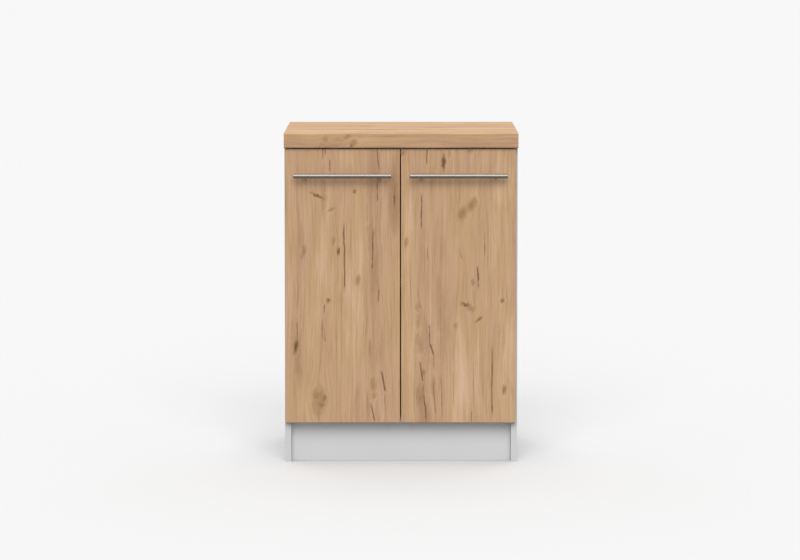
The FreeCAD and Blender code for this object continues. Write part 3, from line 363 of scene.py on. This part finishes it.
doorDecor = {
    "light": [
        (-110, 594, 94, 15, 0.55), (-128, 377, 100, 21, 0.5), (-153, 205, 88, 17, 0.35),
        (-201, 545, 88, 18, 0.3), (-140, 790, 31, 21, 0.45), (-235, 370, 62, 12, 0.3),
        (17, 640, 100, 8, 0.5), (23, 400, 162, 10, 0.35), (263, 745, 62, 20, 0.55),
        (247, 540, 94, 20, 0.35), (152, 195, 88, 14, 0.5), (272, 270, 112, 14, 0.35),
        (203, 275, 112, 15, 0.25),
    ],
    "shade": [
        (-269, 313, 81, 12, 0.5), (-258, 520, 88, 10, 0.35), (-201, 340, 75, 7, 0.4),
        (-72, 560, 138, 13, 0.4), (-16, 690, 75, 10, 0.5), (-54, 220, 100, 17, 0.35),
        (53, 700, 94, 9, 0.35), (109, 590, 125, 18, 0.35), (118, 370, 75, 13, 0.55),
        (57, 220, 106, 14, 0.45), (195, 510, 44, 6, 0.4), (170, 785, 31, 20, 0.35),
        (203, 575, 50, 14, 0.35),
    ],
    "knots": [
        (-215, 691, 14, 3, -64, 0.95), (-120, 702, 5, 3, 15, 0.9), (-180, 655, 8, 3, 58, 0.6),
        (-174, 575, 8, 3, 0, 0.65), (-161, 547, 8, 3, 8, 1.0), (-250, 547, 14, 4, 16, 0.6),
        (-111, 473, 10, 4, 10, 0.65), (-188, 421, 4, 4, 0, 0.9), (-271, 301, 14, 4, 10, 1.05),
        (-264, 240, 32, 7, 0, 0.45), (-211, 157, 26, 13, 8, 0.58), (-218, 173, 12, 8, 0, 0.65),
        (-199, 166, 10, 5, 20, 0.78), (-206, 150, 9, 7, 15, 0.8), (-212, 137, 12, 5, 0, 0.6),
        (-79, 290, 24, 6, 0, 0.4), (-72, 203, 13, 6, 0, 0.55), (-70, 174, 6, 5, 0, 0.5),
        (-84, 150, 26, 4, 0, 0.4), (-213, 128, 14, 4, 0, 0.45), (-16, 730, 50, 5, 0, 0.35),
        (5, 802, 5, 4, 0, 0.7), (109, 777, 15, 4, 0, 1.05), (124, 799, 6, 3, 0, 0.5),
        (177, 806, 6, 4, 0, 0.6), (13, 571, 9, 4, 10, 0.65), (182, 668, 15, 7, 28, 0.7),
        (158, 646, 13, 8, 25, 0.72), (185, 468, 7, 4, 10, 0.65), (260, 420, 4, 4, 0, 0.85),
        (165, 410, 9, 4, -66, 0.95), (178, 402, 9, 5, -58, 0.6), (201, 372, 8, 3, 52, 0.85),
        (140, 355, 5, 4, 0, 0.55), (44, 404, 9, 5, 0, 0.45), (46, 371, 16, 5, 10, 0.45),
        (49, 305, 16, 7, -10, 0.5), (49, 169, 24, 8, -6, 0.55), (57, 234, 7, 3, 0, 0.75),
        (84, 200, 16, 4, 0, 0.55), (266, 190, 9, 4, 0, 0.8), (70, 120, 22, 9, -8, 0.4),
    ],
    "cracks": [
        (-201, 799, 17, 0.0, 1.3, 0.8), (-195, 805, 12, 0.0, 1.3, 0.8), (-183, 769, 19, 0.0, 1.5, 0.9),
        (-59, 782, 32, -0.11, 1.5, 0.9), (-61, 703, 30, 0.0, 1.5, 0.85), (-16, 694, 44, 0.03, 1.7, 0.75),
        (-17, 680, 15, 0.03, 2.6, 1.0), (-146, 534, 98, -0.01, 1.8, 1.0), (-73, 551, 60, 0.035, 1.8, 0.95),
        (-58, 434, 19, 0.0, 1.5, 0.9), (-198, 399, 13, 0.0, 1.6, 0.8), (-203, 346, 28, 0.0, 1.5, 0.75),
        (-197, 332, 20, -0.08, 1.5, 0.65), (-267, 342, 26, 0.0, 1.5, 0.75), (-212, 121, 16, 0.0, 1.8, 0.6),
        (-46, 211, 31, -0.18, 2.2, 1.0), (-41, 156, 28, 0.0, 1.6, 0.6), (-73, 131, 27, -0.21, 1.9, 0.95),
        (-80, 300, 22, 0.0, 1.3, 0.6), (-86, 158, 30, 0.0, 1.3, 0.55), (66, 791, 22, 0.0, 1.6, 0.9),
        (53, 650, 52, 0.01, 1.8, 0.95), (68, 542, 18, 0.0, 1.5, 0.8), (152, 543, 17, -0.3, 1.7, 0.6),
        (198, 481, 32, -0.05, 1.9, 0.85), (199, 482, 12, -0.05, 2.2, 1.0), (215, 553, 17, 0.0, 1.4, 0.65),
        (74, 328, 34, -0.07, 1.8, 0.85), (80, 293, 18, -0.24, 2.1, 1.0), (84, 264, 22, 0.0, 1.5, 0.65),
        (53, 236, 29, -0.17, 1.8, 0.9), (62, 142, 39, -0.1, 1.9, 1.0), (58, 187, 26, -0.06, 1.5, 0.6),
        (86, 165, 46, -0.1, 1.6, 0.75), (105, 172, 66, -0.03, 1.3, 0.7), (136, 189, 50, 0.0, 1.2, 0.55),
        (234, 212, 106, 0.0, 1.8, 0.95), (182, 119, 16, 0.0, 1.5, 0.8), (186, 190, 40, 0.0, 1.2, 0.5),
    ],
}
worktopDecor = {
    # across is y plus z, so the front edge runs from 525 up to 563 and the top goes on to 1163
    "knots": [
        (548, -194, 8, 5, 84, 0.5), (531, -182, 24, 5, 0, 0.35), (547, -157, 12, 3, 0, 0.4),
        (555, -137, 7, 4, 20, 0.55), (539, -121, 8, 6, 40, 0.6), (532, -127, 4, 3, 0, 0.85),
        (760, 130, 20, 8, 0, 0.5), (930, -90, 18, 9, 0, 0.6), (1060, 190, 14, 7, 0, 0.6),
    ],
    "cracks": [
        (606, -40, 150, 0.0, 2.0, 0.7), (640, 60, 60, 0.02, 1.4, 0.6), (700, -190, 70, 0.0, 1.6, 0.6),
        (820, -140, 80, -0.02, 1.6, 0.7), (930, 180, 60, 0.0, 1.6, 0.6), (1010, 120, 70, 0.03, 1.4, 0.6),
    ],
}


doorFront = 279.0  # how far the doors' front lies before the middle, in millimetres


def oakFinish(name, coordinates, marks, seed, specular, edgeShade=0.0):
    finish = Finish(name)
    across, along = coordinates(finish)
    colour, height = oakDecor(finish, across, along, marks, seed)
    # Blends the edge colour into the decor: the band's own tone plus painted shade for the gaps
    if edgeShade:
        colour = finish.blend(edgeShade, colour, oak["edge"])
    return finish.surface(colour=colour, roughness=oak["roughness"], specular=specular,
                          normal=finish.bump(height, oak["relief"]))


# The part's x, y and z in millimetres
def millimetres(finish):
    parts = finish.add("ShaderNodeSeparateXYZ", {}, {0: finish.place() * (1000, 1000, 1000)})
    return [parts.output(letter) for letter in "XYZ"]


# Across and along the grain, on the doors, the worktop and its ends
def upright(finish):
    x, y, z = millimetres(finish)
    return x + y + doorFront, z


def lengthwise(finish):
    x, y, z = millimetres(finish)
    return y + z, x


def endwise(finish):
    x, y, z = millimetres(finish)
    return z, y


doorOak = oakFinish("doorOak", upright, doorDecor, 0.0, oak["specular"])
# Door edges: the decor pulled towards the edge colour, partly the band's own tone and partly painted shade
# standing for the dark gaps between the doors and under the worktop
doorEdgeOak = oakFinish("doorEdgeOak", upright, doorDecor, 0.0, oak["specular"], oak["edgeShadeShow"])
worktopOak = oakFinish("worktopOak", lengthwise, worktopDecor, 4.0, oak["worktopSpecular"])
worktopEndOak = oakFinish("worktopEndOak", endwise, worktopDecor, 8.0, oak["specular"])
print("oak finishes made")


# Carcass boards, edgings and the rest

melamine = {
    "dark": linear(213, 213, 214),
    "light": linear(219, 219, 220),
    "grainScale": 900.0,
    "cloudScale": 6.0,
    "roughness": 0.5,
    "specular": 0.4,
    "relief": 0.00006,
}


def melamineFinish():
    finish = Finish("greyMelamine")
    at = finish.place()
    grain = finish.noise(at, melamine["grainScale"])
    cloud = finish.noise(at, melamine["cloudScale"], 3.0)
    tone = finish.ramp(grain * 0.5 + cloud * 0.5, [(0.3, melamine["dark"]), (0.7, melamine["light"])])
    return finish.surface(colour=tone, roughness=melamine["roughness"], specular=melamine["specular"],
                          normal=finish.bump(grain, melamine["relief"]))


chipboard = {
    "dark": linear(156, 122, 82),
    "middle": linear(192, 156, 110),
    "light": linear(216, 184, 140),
    "chipScale": 420.0,
    "fibreScale": 160.0,
    "fibreShare": 0.6,
    "roughness": 0.8,
    "relief": 0.0004,
}


def chipboardFinish():
    finish = Finish("rawChipboard")
    at = finish.place()
    fibre = finish.noise(at, chipboard["fibreScale"], 4.0, 0.7)
    chips = finish.add("ShaderNodeTexVoronoi", {}, {"Vector": at, "Scale": chipboard["chipScale"]})
    share = chipboard["fibreShare"]
    tone = fibre * share + chips.output("Color").part("X") * (1 - share)
    colour = finish.ramp(tone, [
        (0.25, chipboard["dark"]), (0.5, chipboard["middle"]), (0.75, chipboard["light"])])
    return finish.surface(colour=colour, roughness=chipboard["roughness"],
                          normal=finish.bump(tone, chipboard["relief"]))


mottledFinishes = {  # slot: name, dark, light, roughness, noise scale, noise detail, relief in metres
    "carcass_edge": ("greyEdging", (205, 206, 207), (211, 212, 213), 0.45, 500.0, 2.0, 0.00005),
    "back_board": ("backBoard", (214, 214, 212), (224, 224, 222), 0.6, 300.0, 3.0, 0.00008),
    "dowel_wood": ("beech", (196, 160, 116), (214, 180, 138), 0.7, 500.0, 2.0, 0.00005),
    "bumper_rubber": ("clearRubber", (206, 206, 202), (220, 220, 216), 0.4, 500.0, 2.0, 0.00005),
}


def mottled(name, dark, light, roughness, scale, detail, relief):
    finish = Finish(name)
    mottle = finish.noise(finish.place(), scale, detail)
    tone = finish.ramp(mottle, [(0.3, linear(*dark)), (0.7, linear(*light))])
    return finish.surface(colour=tone, roughness=roughness, normal=finish.bump(mottle, relief))


metalFinishes = {  # slot: name, dark, light, roughness, brushing's scale along x, y and z, relief in metres
    "plated_screws": ("zincScrew", (176, 178, 182), (214, 215, 218), 0.35, (800, 800, 800), 0.00003),
    "plated_steel": ("nickelPlate", (190, 189, 186), (216, 215, 211), 0.28, (60, 900, 60), 0.00003),
    "spring_steel": ("springSteel", (92, 94, 100), (128, 130, 135), 0.4, (60, 900, 60), 0.00003),
    "handle_metal": ("satinNickel", (105, 99, 92), (112, 106, 99), 0.12, (12, 1500, 1500), 0.000004),
}
roughnessSpread = 0.12


def metal(name, dark, light, roughness, brushing, relief):
    finish = Finish(name)
    brush = finish.noise(finish.place() * brushing, 1.0, 3.0, 0.6)
    tone = finish.ramp(brush, [(0.3, linear(*dark)), (0.7, linear(*light))])
    rough = brush * roughnessSpread + (roughness - roughnessSpread / 2)
    return finish.surface(colour=tone, metallic=1.0, roughness=rough, normal=finish.bump(brush, relief))


finishOf = {
    "carcass_board": melamineFinish(),
    "worktop_board": chipboardFinish(),
    "worktop_decor": worktopOak,
    "door_board": doorOak,
    "door_edge": doorEdgeOak,
}
finishOf.update({slot: mottled(*values) for slot, values in mottledFinishes.items()})
finishOf.update({slot: metal(*values) for slot, values in metalFinishes.items()})
for row in frame["record"]["subparts"]:
    piece = nodes[row["node"]]
    piece.data.materials.clear()
    piece.data.materials.append(finishOf[row["material_slot"]])
for name in ("left_worktop_end_band", "right_worktop_end_band"):
    nodes[name].data.materials.clear()
    nodes[name].data.materials.append(worktopEndOak)
print("finishes given to the solids")


# Cross-head screws: one tree, put where each solid screw sits and turned as it is

screwSizes = {  # metres: shank radius, head radius, head height
    "boardScrew": (0.002, 0.004, 0.0024),
    "backScrew": (0.0015, 0.003, 0.0018),
    "plateScrew": (0.0025, 0.0042, 0.0016),
    "armScrew": (0.0025, 0.004, 0.0022),
}
screwNodes = {
    "worktop_screws": "boardScrew",
    "plinth_bracket_screws": "boardScrew",
    "left_cup_screws": "boardScrew",
    "right_cup_screws": "boardScrew",
    "left_handle_screws": "boardScrew",
    "right_handle_screws": "boardScrew",
    "back_panel_screws": "backScrew",
    "hinge_plate_screws": "plateScrew",
    "hinge_arm_screws": "armScrew",
}
screwForm = {
    "Recess reach": 0.0019,
    "Recess half width": 0.00045,
    "Recess depth": 0.0013,
    "Rim share": 0.4,
    "Tip share": 0.15,
}
crown = [(0.35, 0.86), (0.25, 0.72)]  # share of the head's height, then width left
overlap = 0.1  # share of the head's height that the shank runs up into it
turnSeed = 7


def crossScrewTree():
    shape = Tree(bpy.data.node_groups.new("crossScrew", "GeometryNodeTree"))
    faces = shape.nodeTree.interface
    faces.new_socket("Seats", in_out="INPUT", socket_type="NodeSocketGeometry")
    for name in ["Shank radius", "Head radius", "Head height", "Length"] + list(screwForm):
        faces.new_socket(name, in_out="INPUT", socket_type="NodeSocketFloat")
    faces.new_socket("Finish", in_out="INPUT", socket_type="NodeSocketMaterial")
    faces.new_socket("Screws", in_out="OUTPUT", socket_type="NodeSocketGeometry")
    given = shape.add("NodeGroupInput").output

    def moved(part, z):
        return shape.add("GeometryNodeTransform", {}, {
            "Geometry": part, "Translation": shape.vector(0.0, 0.0, z)}).first()

    def grown(part, chosen, rise, shrink):
        raised = shape.add("GeometryNodeExtrudeMesh", {"mode": "FACES"}, {
            "Mesh": part, "Selection": chosen, "Offset Scale": rise})
        top = raised.output("Top")
        scaled = shape.add("GeometryNodeScaleElements", {"domain": "FACE"}, {
            "Geometry": raised.output("Mesh"), "Selection": top, "Scale": shrink})
        return scaled.first(), top

    high = given("Head height")
    rim = shape.add("GeometryNodeMeshCylinder", {"fill_type": "NGON"}, {
        "Vertices": 32, "Radius": given("Head radius"), "Depth": high * given("Rim share")})
    head, top = rim.output("Mesh"), rim.output("Top")
    for share, left in crown:
        head, top = grown(head, top, high * share, left)
    head = moved(head, high * given("Rim share") * 0.5)
    long, wide = given("Recess reach") * 2.0, given("Recess half width") * 2.0
    slots = [moved(shape.add("GeometryNodeMeshCube", {}, {
        "Size": shape.vector(x, y, given("Recess depth") * 2.0)}).output("Mesh"), high)
        for x, y in ((long, wide), (wide, long))]
    head = shape.add("GeometryNodeMeshBoolean", {"operation": "DIFFERENCE", "solver": "EXACT"}, {
        0: head, 1: slots}).first()
    tip = given("Length") * given("Tip share")
    run = given("Length") - tip + high * overlap
    rod = shape.add("GeometryNodeMeshCylinder", {"fill_type": "NGON"}, {
        "Vertices": 16, "Radius": given("Shank radius"), "Depth": run})
    shank = grown(rod.output("Mesh"), rod.output("Bottom"), tip, 0.2)[0]
    shank = moved(shank, high * overlap - run * 0.5)
    whole = shape.add("GeometryNodeJoinGeometry", {}, {0: [head, shank]}).first()
    spin = shape.add("FunctionNodeRandomValue", {"data_type": "FLOAT"}, {
        2: 0.0, 3: math.pi / 2, "Seed": turnSeed}).first()
    turned = shape.add("FunctionNodeAxisAngleToRotation", {}, {"Axis": (0, 0, 1), "Angle": spin}).first()
    aim = shape.add("GeometryNodeInputNamedAttribute", {"data_type": "FLOAT_VECTOR"}, {
        "Name": "aim"}).first()
    aimed = shape.add("FunctionNodeAlignRotationToVector", {"axis": "Z"}, {
        "Rotation": turned, "Vector": aim}).first()
    placed = shape.add("GeometryNodeInstanceOnPoints", {}, {
        "Points": given("Seats"), "Instance": whole, "Rotation": aimed}).first()
    real = shape.add("GeometryNodeRealizeInstances", {}, {"Geometry": placed}).first()
    painted = shape.add("GeometryNodeSetMaterial", {}, {
        "Geometry": real, "Material": given("Finish")}).first()
    shape.add("NodeGroupOutput", {}, {"Screws": painted})
    return shape.nodeTree


# The corners of each separate solid in a node
def looseParts(piece):
    work = bmesh.new()
    work.from_mesh(piece.data)
    bmesh.ops.remove_doubles(work, verts=work.verts, dist=0.000001)
    seen = set()
    for start in work.verts:
        if start in seen:
            continue
        seen.add(start)
        part = [start]
        for corner in part:
            for edge in corner.link_edges:
                other = edge.other_vert(corner)
                if other not in seen:
                    seen.add(other)
                    part.append(other)
        yield [tuple(corner.co) for corner in part]
    work.free()


# Where a screw's head sits, which way it looks and how long its shank is
def screwSeat(corners, shankRadius, headRadius, headHeight):
    low = [min(values) for values in zip(*corners)]
    high = [max(values) for values in zip(*corners)]
    size = [top - bottom for top, bottom in zip(high, low)]
    centre = [(top + bottom) / 2 for top, bottom in zip(high, low)]
    axis = min(range(3), key=lambda one: sum(
        abs(size[two] - headRadius * 2) for two in range(3) if two != one))
    rim = (shankRadius + headRadius) / 2
    outer = [corner[axis] for corner in corners
             if math.dist([corner[one] for one in range(3) if one != axis],
                          [centre[one] for one in range(3) if one != axis]) > rim]
    way = 1 if sum(outer) / len(outer) > centre[axis] else -1
    seat = list(centre)
    seat[axis] = (high[axis] if way > 0 else low[axis]) - headHeight * way
    aim = [0.0, 0.0, 0.0]
    aim[axis] = float(way)
    return seat, aim, size[axis] - headHeight


crossScrew = crossScrewTree()
for name, kind in screwNodes.items():
    shankRadius, headRadius, headHeight = screwSizes[kind]
    seats = [screwSeat(part, shankRadius, headRadius, headHeight) for part in looseParts(nodes[name])]
    cloud = bpy.data.meshes.new(name + ".seats")
    cloud.from_pydata([seat for seat, aim, length in seats], [], [])
    aims = cloud.attributes.new("aim", "FLOAT_VECTOR", "POINT")
    for item, (seat, aim, length) in zip(aims.data, seats):
        item.vector = aim
    piece = bpy.data.objects.new("crossHead." + name, cloud)
    bpy.context.collection.objects.link(piece)
    modifier = piece.modifiers.new("crossScrew", "NODES")
    modifier.node_group = crossScrew
    values = dict(screwForm, **{
        "Shank radius": shankRadius, "Head radius": headRadius, "Head height": headHeight,
        "Length": seats[0][2], "Finish": finishOf["plated_screws"]})
    for socket in crossScrew.interface.items_tree:
        if socket.name in values:
            modifier[socket.identifier] = values[socket.name]
    plain = bpy.data.meshes.new_from_object(piece.evaluated_get(bpy.context.evaluated_depsgraph_get()))
    piece.modifiers.clear()
    piece.data = plain
    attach(piece, bodyOf[name])
    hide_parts(name)
    print("screws:", name, len(seats), "of", len(plain.polygons), "faces")


# Floor, light and camera

studio = {
    "background": linear(247, 247, 247),
    "floorSeen": linear(227, 227, 227),
    "floorBounce": linear(150, 150, 150),
    "worldStrength": 0.5,
    "lamps": {  # strength, degrees from the zenith towards the front, width in degrees
        "frontSoftbox": (1.95, 56, 40),
        "topSoftbox": (0.67, 0, 24),
        "backSoftbox": (0.7, -45, 60),
    },
}


# 1 for the rays that show a surface to the eye, in a mirror or through glass
def shownRays(tree):
    path = tree.add("ShaderNodeLightPath")
    return path.output("Is Camera Ray").above(path.output("Is Glossy Ray")).above(
        path.output("Is Transmission Ray"))


bpy.ops.mesh.primitive_plane_add(size=400)
floor = bpy.context.object
floor.name = "studioFloor"
ground = Finish("studioFloor")
floor.data.materials.append(ground.surface(
    colour=ground.blend(shownRays(ground), studio["floorBounce"], studio["floorSeen"]),
    roughness=0.9, specular=0.0))

world = bpy.data.worlds.new("studio")
bpy.context.scene.world = world
world.use_nodes = True
sky = Tree(world.node_tree)
fill = sky.add("ShaderNodeBackground", {}, {"Color": (1, 1, 1, 1), "Strength": studio["worldStrength"]})
backdrop = sky.add("ShaderNodeBackground", {}, {"Color": studio["background"], "Strength": 1.0})
skyMix = sky.add("ShaderNodeMixShader", {}, {0: shownRays(sky), 1: fill.first(), 2: backdrop.first()})
sky.add("ShaderNodeOutputWorld", {}, {"Surface": skyMix.first()})

for name, (strength, tilt, width) in studio["lamps"].items():
    lamp = bpy.data.lights.new(name, "SUN")
    lamp.energy = strength
    lamp.angle = math.radians(width)
    lampObject = bpy.data.objects.new(name, lamp)
    lampObject.rotation_euler = (math.radians(tilt), 0, 0)
    bpy.context.collection.objects.link(lampObject)

cameraAt = {
    "place": (-0.0028, -10.619, 1.3905),
    "downward": 5.067,
    "lens": 181.5,
}
lens = bpy.data.cameras.new("camera")
lens.lens = cameraAt["lens"]
lens.sensor_width = 36
lens.clip_end = 1000
camera = bpy.data.objects.new("camera", lens)
camera.location = cameraAt["place"]
camera.rotation_euler = (math.radians(90 - cameraAt["downward"]), 0, 0)
bpy.context.collection.objects.link(camera)
bpy.context.scene.camera = camera
bpy.context.scene.view_settings.view_transform = "Standard"
print("studio set")
